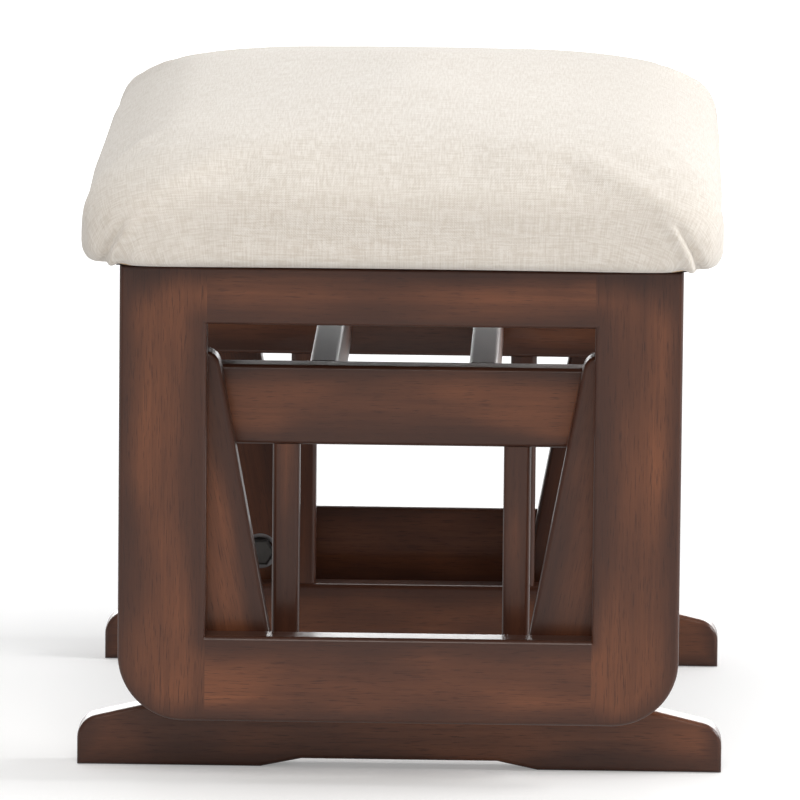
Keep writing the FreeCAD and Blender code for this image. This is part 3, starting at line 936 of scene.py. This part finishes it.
@dataclass
class Cushion:
    """The upholstered pad: a linen cover pulled over foam and turned under the seat board.

    The profile gives the blank's outline as distances inwards and heights, and the fullness gives how far
    the cover stands out at each height, all in millimetres, as slack_from and slack_over are. The pairs
    that begin with corner_ are along X and along Y.
    """

    effects: Effects
    finish: LinenCloth = LinenCloth()
    pleats: Pleats = Pleats()
    slack: float = 3.0 * MM
    slack_from: float = 330.0
    slack_over: float = 40.0
    voxel: float = 5.0 * MM
    pressure: float = 4.0
    quality: int = 5
    last_frame: int = 20
    held_height: float = 3.0 * MM
    swell_cap: float = 6.0 * MM
    corner_radius: float = 36.0 * MM
    corner_growth: float = 0.66
    corner_limit: float = 0.98
    face_draw: float = 4.5 * MM
    end_draw: float = 0.8 * MM
    draw_curve: float = 1.5
    underside: float = 308.3 * MM
    profile: tuple[tuple[float, float], ...] = (
        (12.0, 308.6), (6.0, 310.0), (2.2, 314.5), (0.0, 323.0), (0.0, 336.0), (2.4, 346.0), (6.5, 354.0),
        (13.0, 362.0), (21.5, 368.0), (32.0, 373.0), (54.0, 379.6), (78.0, 383.3), (104.0, 386.5),
        (130.0, 389.4), (154.0, 391.8), (172.0, 393.6))
    crown: float = 394.9 * MM
    around: int = 200
    smoothing: int = 9
    lift_from: float = 325.0 * MM
    lift_over: float = 50.0 * MM
    fullness: tuple[tuple[float, float], ...] = (
        (325.0, 0.0), (338.0, 2.5), (346.0, 4.5), (352.0, 7.0), (358.0, 8.6), (364.0, 9.4), (370.0, 7.6),
        (376.0, 4.0), (383.0, 0.0))
    corner_from: Pair = (60.0 * MM, 100.0 * MM)
    corner_over: Pair = (127.0 * MM, 150.0 * MM)
    corner_easing: float = 0.85
    fine_reach: float = 60.0 * MM
    fine_height: float = 50.0 * MM
    overhang: float = 1.5 * MM
    map_margin: float = 90.0 * MM
    map_blend: float = 50.0 * MM
    fill: float = 0.85

    def __post_init__(self) -> None:
        """Read the cover's box from the CAD."""
        self.low, self.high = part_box("cushion_cover")

    def drawn(self, along: float, half_along: float, across: float, half_across: float, draw: float) -> float:
        """How far a side is drawn in at a place, most in its middle, with the side's own sign."""
        curve = math.cos(math.pi / 2 * min(abs(along) / half_along, 1.0)) ** self.draw_curve
        return math.copysign(draw * curve * abs(across) / half_across, across)

    def section(self, inset: float, z: float, half: Vector) -> list[Vector]:
        """Points round one level of the pad, rounded at its corners and drawn in between them.

        Args:
            inset: how far the level lies inside the widest one.
            z: its height.
            half: half the pad's length and depth.

        Returns:
            The points, one for each step around.
        """
        a, b = half.x - inset, half.y - inset
        radius = min(self.corner_radius + self.corner_growth * inset, min(a, b) * self.corner_limit)
        points = []
        for step in range(self.around):
            angle = 2 * math.pi * step / self.around
            ray = Vector((math.cos(angle) * a, math.sin(angle) * b))
            on_box = ray * (1.0 / max(abs(ray.x) / a, abs(ray.y) / b))
            core = Vector((max(abs(on_box.x) - (a - radius), 0.0), max(abs(on_box.y) - (b - radius), 0.0)))
            if core.x > 0 and core.y > 0:
                out = core.normalized() * radius
                on_box = Vector((math.copysign(a - radius + out.x, on_box.x),
                                 math.copysign(b - radius + out.y, on_box.y)))
            points.append(Vector((on_box.x - self.drawn(on_box.y, b, on_box.x, a, self.end_draw),
                                  on_box.y - self.drawn(on_box.x, a, on_box.y, b, self.face_draw), z)))
        return points

    def blank(self) -> Piece:
        """The pad before it swells, a little smaller than it ends.

        Returns:
            The blank.
        """
        half = Vector(((self.high.x - self.low.x) / 2 - self.slack,
                       (self.high.y - self.low.y) / 2 - self.slack, 0))
        work = bmesh.new()
        rows = []
        for inset, level in self.profile:
            slack = self.slack * min(1.0, max(0.0, (level - self.slack_from) / self.slack_over))
            points = self.section(inset * MM, level * MM - slack, half)
            rows.append([work.verts.new(point) for point in points])
        sole = work.verts.new((0.0, 0.0, self.underside))
        crest = work.verts.new((0.0, 0.0, self.crown - self.slack))
        steps = [(i, (i + 1) % self.around) for i in range(self.around)]
        for lower, upper in zip(rows, rows[1:]):
            for i, j in steps:
                work.faces.new((lower[i], lower[j], upper[j], upper[i]))
        for i, j in steps:
            work.faces.new((rows[0][j], rows[0][i], sole))
            work.faces.new((rows[-1][i], rows[-1][j], crest))
        return from_work("cushion_blank", work)

    def swollen(self, piece: Piece) -> None:
        """Blow the pad up with cloth, held flat underneath, and cap how far each point moves.

        Args:
            piece: the blank.
        """
        remesh = piece.modifiers.new("even mesh", "REMESH")
        remesh.mode = "VOXEL"
        remesh.voxel_size = self.voxel
        baked(piece)
        start = points_of(piece.data)
        low_enough = np.nonzero(start[:, 2] < self.underside + self.held_height)[0]
        piece.vertex_groups.new(name="held").add(low_enough.tolist(), 1.0, "REPLACE")
        cloth = piece.modifiers.new("swell", "CLOTH")
        cloth.settings.use_pressure = True
        cloth.settings.uniform_pressure_force = self.pressure
        cloth.settings.effector_weights.gravity = 0.0
        cloth.settings.vertex_group_mass = "held"
        cloth.settings.quality = self.quality
        cloth.point_cache.frame_start = 1
        cloth.point_cache.frame_end = self.last_frame
        for number in range(1, self.last_frame + 1):
            bpy.context.scene.frame_set(number)
        baked(piece)
        bpy.context.scene.frame_set(1)
        step = points_of(piece.data) - start
        length = np.linalg.norm(step, axis=1, keepdims=True)
        move_points(piece.data, start + step * np.minimum(1.0, self.swell_cap / np.maximum(length, 1e-9)))
        log.info("cushion swelled by up to %.1f mm, %.1f mm on average", float(length.max()) / MM,
                 float(length.mean()) / MM)

    def evened(self, piece: Piece) -> None:
        """Smooth the swollen pad and split its faces once.

        Args:
            piece: the pad.
        """
        even = piece.modifiers.new("even out", "SMOOTH")
        even.iterations = self.smoothing
        even.factor = 0.5
        fine = piece.modifiers.new("fine", "SUBSURF")
        fine.levels = fine.render_levels = 1
        baked(piece)

    def fitted(self, mesh: bpy.types.Mesh) -> None:
        """Bring the swollen pad to its finished length, depth and height, with full shoulders.

        Args:
            mesh: the pad's mesh.
        """
        co = points_of(mesh)
        for axis in (0, 1):
            co[:, axis] *= (self.high[axis] - self.low[axis]) / (co[:, axis].max() - co[:, axis].min())
        co[:, 2] += ramp(co[:, 2] - self.lift_from, self.lift_over) * (self.crown - co[:, 2].max())
        co[:, 2] = np.maximum(co[:, 2], self.underside)
        sideways = np.array([vertex.normal for vertex in mesh.vertices])
        sideways[:, 2] = 0.0
        level, push = np.array(self.fullness).T * MM
        near_corner = np.minimum(*(ramp(np.abs(co[:, axis]) - self.corner_from[axis], self.corner_over[axis])
                                   for axis in (0, 1)))
        push_here = np.interp(co[:, 2], level, push) * (1.0 - self.corner_easing * near_corner)
        move_points(mesh, co + sideways * push_here[:, None])

    def refined(self, mesh: bpy.types.Mesh) -> None:
        """Split the faces round the four lower corners, where the pleats need a finer mesh.

        Args:
            mesh: the pad's mesh.
        """
        work = bmesh.new()
        work.from_mesh(mesh)
        near = []
        for edge in work.edges:
            middle = (edge.verts[0].co + edge.verts[1].co) / 2
            from_corner = max(self.high.x - abs(middle.x), self.high.y - abs(middle.y))
            if from_corner < self.fine_reach and middle.z < self.underside + self.fine_height:
                near.append(edge)
        bmesh.ops.subdivide_edges(work, edges=near, cuts=1, use_grid_fill=True)
        work.to_mesh(mesh)
        work.free()

    def pleated(self, mesh: bpy.types.Mesh) -> None:
        """Fold a pleat into the long faces beside each lower corner, and let the corner swell past it.

        The cloth is pulled under the board from both sides, so the fold runs down and outwards and the
        corner beyond it stands out as an ear.

        Args:
            mesh: the pad's mesh.
        """
        co = points_of(mesh)
        normal = np.array([vertex.normal for vertex in mesh.vertices])
        push = self.pleats.push(co[:, 2] - self.underside, self.high.x - np.abs(co[:, 0]),
                                self.high.y - np.abs(co[:, 1]))
        co += normal * push[:, None]
        co[:, 0] = np.clip(co[:, 0], self.low.x - self.overhang, self.high.x + self.overhang)
        co[:, 2] = np.maximum(co[:, 2], self.underside)
        move_points(mesh, co)

    def map_cloth(self, mesh: bpy.types.Mesh) -> None:
        """Lay the cover flat: the cloth runs over each edge and on down the side, in metres.

        Args:
            mesh: the pad's mesh.
        """
        co = points_of(mesh)
        half = np.array([(self.high.x - self.low.x) / 2, (self.high.y - self.low.y) / 2])
        away = np.sign(co[:, :2]) * np.maximum(np.abs(co[:, :2]) - (half - self.map_margin), 0.0)
        reach = np.linalg.norm(away, axis=1, keepdims=True)
        way = away / np.maximum(reach, 1e-6) * ramp(reach, self.map_blend)
        flat = co[:, :2] + way * np.maximum(self.high.z - co[:, 2:3], 0.0)
        corner = np.array([loop.vertex_index for loop in mesh.loops])
        layer = mesh.uv_layers.new(name="cloth")
        layer.data.foreach_set("uv", flat[corner].astype(np.float32).ravel())

    def build(self) -> None:
        """Make, swell and dress the cushion."""
        piece = self.blank()
        self.swollen(piece)
        piece.name = "linen_cushion"
        self.evened(piece)
        for shape in (self.fitted, self.refined, self.pleated):
            shape(piece.data)
        piece.data.shade_smooth()
        self.map_cloth(piece.data)
        set_down(piece, "seat", self.finish.material("oatmeal_linen", self.effects),
                 ["cushion_cover", "cushion_foam"])


@dataclass(frozen=True)
class Shaft:
    """One bolt or screw: where its head ends and where its tip ends."""

    head: Vector
    tip: Vector


@dataclass(frozen=True)
class FastenerSizes:
    """The sizes that the fastener nodes are given, in metres."""

    head_width: float
    head_height: float
    shank_width: float
    sides: int
    bevel: float


class RepeatGroup:
    """A Geometry Nodes group whose named inputs are set by their sockets' identifiers."""

    def __init__(self, name: str, inputs: dict[str, str]) -> None:
        """Make the group with a Geometry input and output, and its named inputs.

        Args:
            name: the group's name.
            inputs: each further input's name and socket type.
        """
        self.tree = bpy.data.node_groups.new(name, "GeometryNodeTree")
        for way in ("INPUT", "OUTPUT"):
            self.tree.interface.new_socket("Geometry", in_out=way, socket_type="NodeSocketGeometry")
        self.keys = {}
        for label, kind in inputs.items():
            socket = self.tree.interface.new_socket(label, in_out="INPUT", socket_type=kind)
            self.keys[label] = socket.identifier
        self.wiring = Wiring(self.tree)
        self.source = self.wiring.node("NodeGroupInput").outputs

    def repeat(self, points: Socket, instance: Socket, along: Socket, axis: str) -> None:
        """Set one form at every point, make the copies real and give them the material.

        Args:
            points: where the form goes.
            instance: the form.
            along: each point's direction.
            axis: the form's axis that is turned along it.
        """
        w = self.wiring
        turn = w.node("FunctionNodeAlignRotationToVector", {"Vector": along}, axis=axis).outputs[0]
        copies = w.node("GeometryNodeInstanceOnPoints", {"Points": points, "Instance": instance,
                                                         "Rotation": turn})
        real = w.node("GeometryNodeRealizeInstances", {0: copies.outputs[0]}).outputs[0]
        dressed = w.node("GeometryNodeSetMaterial", {"Geometry": real, "Material": self.source["Material"]})
        w.node("NodeGroupOutput", {"Geometry": dressed.outputs[0]})

    def bake(self, piece: Piece, values: dict[str, Any]) -> Piece:
        """Run the group on a piece with these values and keep the result as the piece's mesh.

        Args:
            piece: the object that carries the points or lines.
            values: the group's inputs, by name.

        Returns:
            The same object.
        """
        live = piece.modifiers.new(self.tree.name, "NODES")
        live.node_group = self.tree
        for label, value in values.items():
            live[self.keys[label]] = value
        return baked(piece)


@dataclass(frozen=True)
class FastenerForm:
    """The form of a bolt or screw, as shares of its own sizes."""

    crown: float = 0.84
    flange_height: float = 0.5
    flange_width: float = 0.82
    tip_length: float = 0.12
    tip_width: float = 0.78
    round_sides: int = 40

    def group(self) -> RepeatGroup:
        """A bolt or screw at every point, its head along the point's own direction.

        Returns:
            The group. Its points carry the directions in the attribute "aim".
        """
        floats = ("Head Width", "Head Height", "Shank Width", "Length", "Bevel")
        group = RepeatGroup("fasteners", {**{name: "NodeSocketFloat" for name in floats},
                                          "Sides": "NodeSocketInt", "Material": "NodeSocketMaterial"})
        w, source = group.wiring, group.source
        radius = w.math("MULTIPLY", source["Head Width"], 0.5)
        shank_radius = w.math("MULTIPLY", source["Shank Width"], 0.5)
        flange = w.math("MULTIPLY", source["Bevel"], self.flange_height)
        prism = w.math("SUBTRACT", source["Head Height"], w.math("ADD", source["Bevel"], flange))
        tip = w.math("MULTIPLY", source["Shank Width"], self.tip_length)
        shank = w.math("SUBTRACT", w.math("SUBTRACT", source["Length"], source["Head Height"]), tip)
        under = w.math("ADD", source["Bevel"], prism)

        def middle(top: Socket, height: Socket) -> Socket:
            """The level halfway down a form that starts at another level."""
            return w.math("ADD", top, w.math("MULTIPLY", height, 0.5))

        def cylinder(sides: Any, half_width: Socket, height: Socket) -> Socket:
            """A cylinder around its own middle."""
            return w.node("GeometryNodeMeshCylinder", {"Vertices": sides, "Radius": half_width,
                                                       "Depth": height}).outputs["Mesh"]

        def cone(sides: Any, bottom: Socket, top: Socket, height: Socket) -> Socket:
            """A cone that stands on its lower end."""
            return w.node("GeometryNodeMeshCone", {"Vertices": sides, "Radius Bottom": bottom,
                                                   "Radius Top": top, "Depth": height}).outputs["Mesh"]

        forms = (
            (cone(source["Sides"], radius, w.math("MULTIPLY", radius, self.crown), source["Bevel"]),
             source["Bevel"]),
            (cylinder(source["Sides"], radius, prism), middle(source["Bevel"], prism)),
            (cylinder(self.round_sides, w.math("MULTIPLY", radius, self.flange_width), flange),
             middle(under, flange)),
            (cylinder(self.round_sides, shank_radius, shank), middle(source["Head Height"], shank)),
            (cone(self.round_sides, w.math("MULTIPLY", shank_radius, self.tip_width), shank_radius, tip),
             source["Length"]))
        join = w.node("GeometryNodeJoinGeometry")
        for form, level in forms:
            down = w.combined(z=w.math("MULTIPLY", level, -1.0))
            moved = w.node("GeometryNodeTransform", {"Geometry": form, "Translation": down}).outputs[0]
            w.tree.links.new(moved, join.inputs[0])
        aim = w.node("GeometryNodeInputNamedAttribute", {"Name": "aim"}, data_type="FLOAT_VECTOR").outputs[0]
        points = w.node("GeometryNodeMeshToPoints", {"Mesh": source["Geometry"]}).outputs[0]
        group.repeat(points, join.outputs[0], aim, "Z")
        return group


def build_staple_group() -> RepeatGroup:
    """The group of staples at even steps along every line of the piece, each lying along its line.

    Returns:
        The finished group.
    """
    group = RepeatGroup("staples", {"Spacing": "NodeSocketFloat", "Width": "NodeSocketFloat",
                                    "Wire": "NodeSocketFloat", "Material": "NodeSocketMaterial"})
    w, source = group.wiring, group.source
    curve = w.node("GeometryNodeMeshToCurve", {0: source["Geometry"]}).outputs[0]
    points = w.node("GeometryNodeCurveToPoints", {"Curve": curve, "Length": source["Spacing"]}, mode="LENGTH")
    size = w.combined(source["Width"], source["Wire"], source["Wire"])
    staple = w.node("GeometryNodeMeshCube", {"Size": size}).outputs[0]
    group.repeat(points.outputs["Points"], staple, points.outputs["Tangent"], "X")
    return group


@dataclass
class Hardware:
    """Bolts, screws and bearings, and the plywood under the cushion."""

    effects: Effects
    bolt: FastenerSizes = FastenerSizes(18.0 * MM, 5.0 * MM, 10.0 * MM, 6, 0.8 * MM)
    screw: FastenerSizes = FastenerSizes(10.0 * MM, 4.0 * MM, 6.0 * MM, 32, 1.4 * MM)
    plating_in_shade: DullMetal = DullMetal()
    steel: DullMetal = DullMetal((0.34, 0.34, 0.35), 0.34)
    sharp_degrees: float = 28.0

    def shafts(self, node: str, axis: int) -> list[Shaft]:
        """Read where a node's four fasteners lie.

        Args:
            node: the CAD node.
            axis: the axis that they lie along.

        Returns:
            Their heads and tips.
        """
        co = points_of(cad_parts[node].data)
        found = []
        for x_side in (1, -1):
            for y_side in (1, -1):
                own = co[(co[:, 0] * x_side > 0) & (co[:, 1] * y_side > 0)]
                middle = (own.min(0) + own.max(0)) / 2
                off = own - middle
                off[:, axis] = 0.0
                widest = own[np.linalg.norm(off, axis=1).argmax()]
                ends = [Vector(middle), Vector(middle)]
                ends[0][axis], ends[1][axis] = float(own[:, axis].max()), float(own[:, axis].min())
                if widest[axis] < middle[axis]:
                    ends.reverse()
                found.append(Shaft(*ends))
        return found

    def fasteners(self, name: str, node: str, axis: int, sizes: FastenerSizes, group: RepeatGroup,
                  material: bpy.types.Material) -> Piece:
        """Make one node's fasteners as one piece.

        Args:
            name: the piece's name.
            node: the CAD node that it stands for.
            axis: the axis that the fasteners lie along.
            sizes: their sizes.
            group: the nodes that make them.
            material: their finish.

        Returns:
            The piece.
        """
        shafts = self.shafts(node, axis)
        piece = mesh_of(name, [shaft.head for shaft in shafts])
        aims = piece.data.attributes.new("aim", "FLOAT_VECTOR", "POINT")
        for item, shaft in zip(aims.data, shafts):
            item.vector = (shaft.head - shaft.tip).normalized()
        group.bake(piece, {"Head Width": sizes.head_width, "Head Height": sizes.head_height,
                           "Shank Width": sizes.shank_width, "Sides": sizes.sides, "Bevel": sizes.bevel,
                           "Length": (shafts[0].head - shafts[0].tip).length, "Material": material})
        return smooth(piece, self.sharp_degrees)

    def build(self) -> None:
        """Make the fasteners, and give the nodes that keep their shapes a finish."""
        # The bolts and screws get the dark metal: its colour is painted shade.
        zinc_in_shade = self.plating_in_shade.material("zinc_plate_in_painted_shade")
        steel = self.steel.material("bearing_steel")
        group = FastenerForm().group()
        for name, node, axis, sizes, body in (
                ("upper_hex_bolts", "upper_pivot_bolts", 1, self.bolt, "base"),
                ("lower_hex_bolts", "lower_pivot_bolts", 1, self.bolt, "seat"),
                ("pan_head_screws", "seat_screws", 2, self.screw, "seat")):
            piece = self.fasteners(name, node, axis, sizes, group, zinc_in_shade)
            set_down(piece, body, zinc_in_shade, [node])
        finishes = {"seat_board": Plywood().material("plywood", self.effects)}
        finishes |= {f"{end}_{side}_link_bearings": steel for end in ENDS for side in SIDES}
        for node, material in finishes.items():
            paint(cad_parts[node].data, material)
            log.info("%s keeps its shape", node)


@dataclass
class Underside:
    """The black cloth over the underside of the seat board, and the staples that hold it."""

    step: float = 6.0 * MM
    least_step: float = 0.3
    thickness: float = 0.25 * MM
    level: float = 308.28 * MM
    sag: float = 0.55 * MM
    sag_reach: float = 40.0 * MM
    wave_x: float = 61.0
    wave_y: float = 47.0
    sway: float = 2.3
    sway_y: float = 23.0
    screw_x: float = 85.0 * MM
    screw_y: float = 140.0 * MM
    screw_hole: float = 3.6 * MM
    sharp_degrees: float = 50.0
    staple_spacing: float = 29.0 * MM
    staple_width: float = 10.5 * MM
    wire: float = 0.5 * MM
    wire_sunk: float = 0.2 * MM
    wire_metal: DullMetal = DullMetal((0.42, 0.42, 0.43), 0.35)
    staples_from_side: float = 2.6 * MM
    staples_from_rail: float = 1.6 * MM
    run_short_x: float = 14.0 * MM
    run_short_y: float = 8.0 * MM

    def __post_init__(self) -> None:
        """Read the cloth's box, the cleat's edges and the ring rail's two faces from the CAD."""
        self.low, self.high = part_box("dust_cover")
        self.cleat_in, self.cleat_out = (corner.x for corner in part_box("front_seat_cleat"))
        self.rail_out, self.rail_in = (abs(corner.y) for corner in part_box("right_ring_top_rail"))

    def lines(self, low: float, high: float, hole: float) -> list[float]:
        """Grid lines from low to high with extra ones at both sides of each screw hole.

        Args:
            low: where the cloth begins.
            high: where it ends.
            hole: how far the screws lie from the middle.

        Returns:
            The lines' places, in order.
        """
        count = round((high - low) / self.step)
        holes = [side * hole + shift for side in (-1, 1) for shift in (-self.screw_hole, self.screw_hole)]
        plain = [low + (high - low) * i / count for i in range(count + 1)]
        kept = [value for value in plain
                if all(abs(value - edge) > self.least_step * self.step for edge in holes)
                and not any(abs(value - side * hole) < self.screw_hole for side in (-1, 1))]
        return sorted(kept + holes)

    def height(self, x: float, y: float) -> float:
        """The cloth's height at a place: flat on the cleats and rails, slightly slack between them.

        Args:
            x: the place along X.
            y: the place along Y.

        Returns:
            The height.
        """
        from_cleat = max(self.cleat_in - abs(x), abs(x) - self.cleat_out, 0.0)
        from_rail = max(self.rail_in - abs(y), 0.0)
        from_edge = max(self.high.x - abs(x), 0.0)
        free = min(from_cleat, from_rail, from_edge, self.sag_reach) / self.sag_reach
        swayed = self.wave_x * x + self.sway * math.sin(self.sway_y * y)
        wave = 0.5 + 0.5 * math.sin(swayed) * math.sin(self.wave_y * y)
        return self.level - self.sag * free ** 0.5 * wave

    def cloth(self) -> Piece:
        """The cloth, with a hole over each screw.

        Returns:
            The finished cloth.
        """
        xs = self.lines(self.low.x, self.high.x, self.screw_x)
        ys = self.lines(self.low.y, self.high.y, self.screw_y)
        work = bmesh.new()
        rows = [[work.verts.new((x, y, self.height(x, y))) for y in ys] for x in xs]
        for i in range(len(xs) - 1):
            for j in range(len(ys) - 1):
                middle_x, middle_y = (xs[i] + xs[i + 1]) / 2, (ys[j] + ys[j + 1]) / 2
                if (abs(abs(middle_x) - self.screw_x) < self.screw_hole
                        and abs(abs(middle_y) - self.screw_y) < self.screw_hole):
                    continue
                work.faces.new((rows[i][j], rows[i + 1][j], rows[i + 1][j + 1], rows[i][j + 1]))
        piece = from_work("underside_cloth", work)
        thick = piece.modifiers.new("thickness", "SOLIDIFY")
        thick.thickness = self.thickness
        thick.offset = -1.0
        return smooth(baked(piece), self.sharp_degrees)

    def staples(self, material: bpy.types.Material) -> Piece:
        """The staples, in rows near the cloth's edges and clear of the ring frames.

        Args:
            material: the wire's finish.

        Returns:
            The staples as one piece.
        """
        side_x, side_y = self.high.x - self.staples_from_side, self.rail_out + self.staples_from_rail
        run_x, run_y = self.high.x - self.run_short_x, self.rail_in - self.run_short_y
        z = self.level - self.thickness - self.wire_sunk
        ends = [((side_x, -run_y), (side_x, run_y)), ((-side_x, -run_y), (-side_x, run_y)),
                ((-run_x, side_y), (run_x, side_y)), ((-run_x, -side_y), (run_x, -side_y))]
        piece = mesh_of("cloth_staples", [(*end, z) for pair in ends for end in pair],
                        [(2 * i, 2 * i + 1) for i in range(len(ends))])
        return build_staple_group().bake(piece, {"Spacing": self.staple_spacing, "Width": self.staple_width,
                                                 "Wire": self.wire, "Material": material})

    def build(self) -> None:
        """Lay the cloth and drive its staples."""
        cloth = self.cloth()
        set_down(cloth, "seat", DustCloth().material("dust_cloth"), ["dust_cover"])
        wire = self.wire_metal.material("staple_wire")
        set_down(self.staples(wire), "seat", wire)


@dataclass(frozen=True)
class PhotoView:
    """The photograph's viewpoint, fitted to its straight edges, and the part of it that is framed."""

    eye: Point = (0.1293, -6.3316, 1.2506)
    yaw: float = -0.0921
    pitch: float = 0.1119
    focal_px: float = 3300.0
    photo_px: float = 800.0
    framed_centre_px: Pair = (631.4, 579.0)
    framed_width_px: float = 250.0
    framing: float = 1.5
    sensor: float = 36.0
    clip_end: float = 100.0

    def build(self) -> None:
        """Place the camera at the photograph's viewpoint and aim it at the ottoman."""
        ahead = Vector((math.sin(self.yaw) * math.cos(self.pitch), math.cos(self.yaw) * math.cos(self.pitch),
                        -math.sin(self.pitch)))
        right = Vector((math.cos(self.yaw), -math.sin(self.yaw), 0))
        up = right.cross(ahead)
        middle = self.photo_px / 2
        ray = (ahead * self.focal_px + right * (self.framed_centre_px[0] - middle)
               - up * (self.framed_centre_px[1] - middle))
        turn = ahead.rotation_difference(ray)
        axes = Matrix((turn @ right, turn @ up, -(turn @ ahead))).transposed()
        data = bpy.data.cameras.new("photo view")
        data.sensor_width = self.sensor
        stretch = (ray.length / self.focal_px) ** self.framing
        data.lens = self.sensor * self.focal_px * stretch / self.framed_width_px
        data.clip_end = self.clip_end
        camera = placed("photo view", data)
        camera.matrix_world = Matrix.Translation(self.eye) @ axes.to_4x4()
        bpy.context.scene.camera = camera


@dataclass(frozen=True)
class Lamp:
    """One soft square lamp: its place, the height on the ottoman that it faces, its width, watts and tint."""

    name: str
    place: Point
    aim_height: float
    width: float
    power: float
    tint: Colour = WHITE

    def hang(self) -> None:
        """Hang the lamp."""
        data = bpy.data.lights.new(self.name, "AREA")
        data.shape = "SQUARE"
        data.size = self.width
        data.energy = self.power
        data.color = self.tint
        lamp = placed(self.name, data)
        lamp.location = self.place
        aim = Vector((0.0, 0.0, self.aim_height)) - Vector(self.place)
        lamp.rotation_euler = aim.to_track_quat("-Z", "Y").to_euler()


@dataclass
class Studio:
    """A plain white floor and backdrop under soft lights."""

    floor_size: float = 40.0
    floor_drop: float = 0.2 * MM
    floor_colour: Colour = (0.80, 0.80, 0.80)
    floor_glow: float = 0.23
    far_glow: float = 0.75
    glow_range: Pair = (0.55, 2.6)
    sky: float = 0.50
    gloss_sky: float = 0.30
    backdrop_size: float = 24.0
    backdrop_distance: float = 9.0
    backdrop_gloss: float = 4.0
    lamps: tuple[Lamp, ...] = (
        Lamp("key", (2.5, -0.1, 1.35), 0.2, 1.0, 47.0),
        Lamp("front", (0.0, -2.9, 2.3), 0.2, 1.7, 48.0, (1.0, 0.955, 0.90)),
        Lamp("top", (0.0, 0.4, 2.9), 0.3, 1.8, 19.0, (0.93, 0.97, 1.0)))

    def sheet(self, name: str, corners: Iterable[Point], material: bpy.types.Material) -> None:
        """Lay or hang one flat sheet of the studio.

        Args:
            name: its name.
            corners: its four corners.
            material: its finish.
        """
        piece = mesh_of(name, corners, faces=[(0, 1, 2, 3)])
        piece.data.materials.append(material)

    def glow(self, w: Wiring, strength: Socket) -> Socket:
        """A white light of its own, of this strength."""
        return w.node("ShaderNodeEmission", {"Color": (*WHITE, 1.0), "Strength": strength}).outputs[0]

    def floor(self) -> None:
        """Lay the floor, which keeps the ottoman's shadow, is white elsewhere and is clear from below."""
        material, w = empty_material("floor")
        seen = w.node("ShaderNodeLightPath").outputs["Is Camera Ray"]
        strength = w.stretch(w.vector("LENGTH", w.place()), *self.glow_range, self.floor_glow, self.far_glow)
        matt = w.node("ShaderNodeBsdfDiffuse", {"Color": (*self.floor_colour, 1.0)}).outputs[0]
        both = w.node("ShaderNodeAddShader", {0: self.glow(w, w.math("MULTIPLY", seen, strength)), 1: matt})
        shown = w.node("ShaderNodeMixShader", {0: w.node("ShaderNodeNewGeometry").outputs["Backfacing"],
                                               1: both.outputs[0],
                                               2: w.node("ShaderNodeBsdfTransparent").outputs[0]})
        w.node("ShaderNodeOutputMaterial", {"Surface": shown.outputs[0]})
        half, z = self.floor_size / 2, -self.floor_drop
        corners = [(-half, -half, z), (half, -half, z), (half, half, z), (-half, half, z)]
        self.sheet("floor", corners, material)

    def backdrop(self) -> None:
        """Hang a white sheet far behind the ottoman, which the tops of its rails catch at a low angle.

        Glossy rays see it brighter than the camera does.
        """
        material, w = empty_material("backdrop")
        glossy = w.node("ShaderNodeLightPath").outputs["Is Glossy Ray"]
        strength = w.math("ADD", 1.0, w.math("MULTIPLY", glossy, self.backdrop_gloss))
        w.node("ShaderNodeOutputMaterial", {"Surface": self.glow(w, strength)})
        half, y = self.backdrop_size / 2, self.backdrop_distance
        corners = [(-half, y, 0.0), (half, y, 0.0), (half, y, half), (-half, y, half)]
        self.sheet("backdrop", corners, material)

    def world(self) -> None:
        """White for the camera and for what is seen through a piece, and a soft even light for the rest."""
        world = bpy.data.worlds.new("studio")
        world.use_nodes = True
        world.node_tree.nodes.clear()
        w = Wiring(world.node_tree)
        rays = w.node("ShaderNodeLightPath").outputs
        seen = w.math("MAXIMUM", rays["Is Camera Ray"], rays["Is Transmission Ray"])
        base = w.math("ADD", self.sky, w.math("MULTIPLY", rays["Is Glossy Ray"], self.gloss_sky - self.sky))
        strength = w.math("MAXIMUM", base, seen)
        light = w.node("ShaderNodeBackground", {"Color": (*WHITE, 1.0), "Strength": strength})
        w.node("ShaderNodeOutputWorld", {"Surface": light.outputs[0]})
        bpy.context.scene.world = world

    def build(self) -> None:
        """Set up the floor, the backdrop, the world and the lamps."""
        self.floor()
        self.backdrop()
        self.world()
        for lamp in self.lamps:
            lamp.hang()
        bpy.context.scene.view_settings.view_transform = "Standard"


def main() -> None:
    """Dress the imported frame, light it and aim the camera."""
    logging.basicConfig(level=logging.INFO, format="%(name)s: %(message)s")
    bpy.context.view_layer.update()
    effects = Effects()
    PhotoView().build()
    Studio().build()
    Joinery(effects).build()
    Cushion(effects).build()
    Hardware(effects).build()
    Underside().build()


if __name__ == "__main__":
    main()
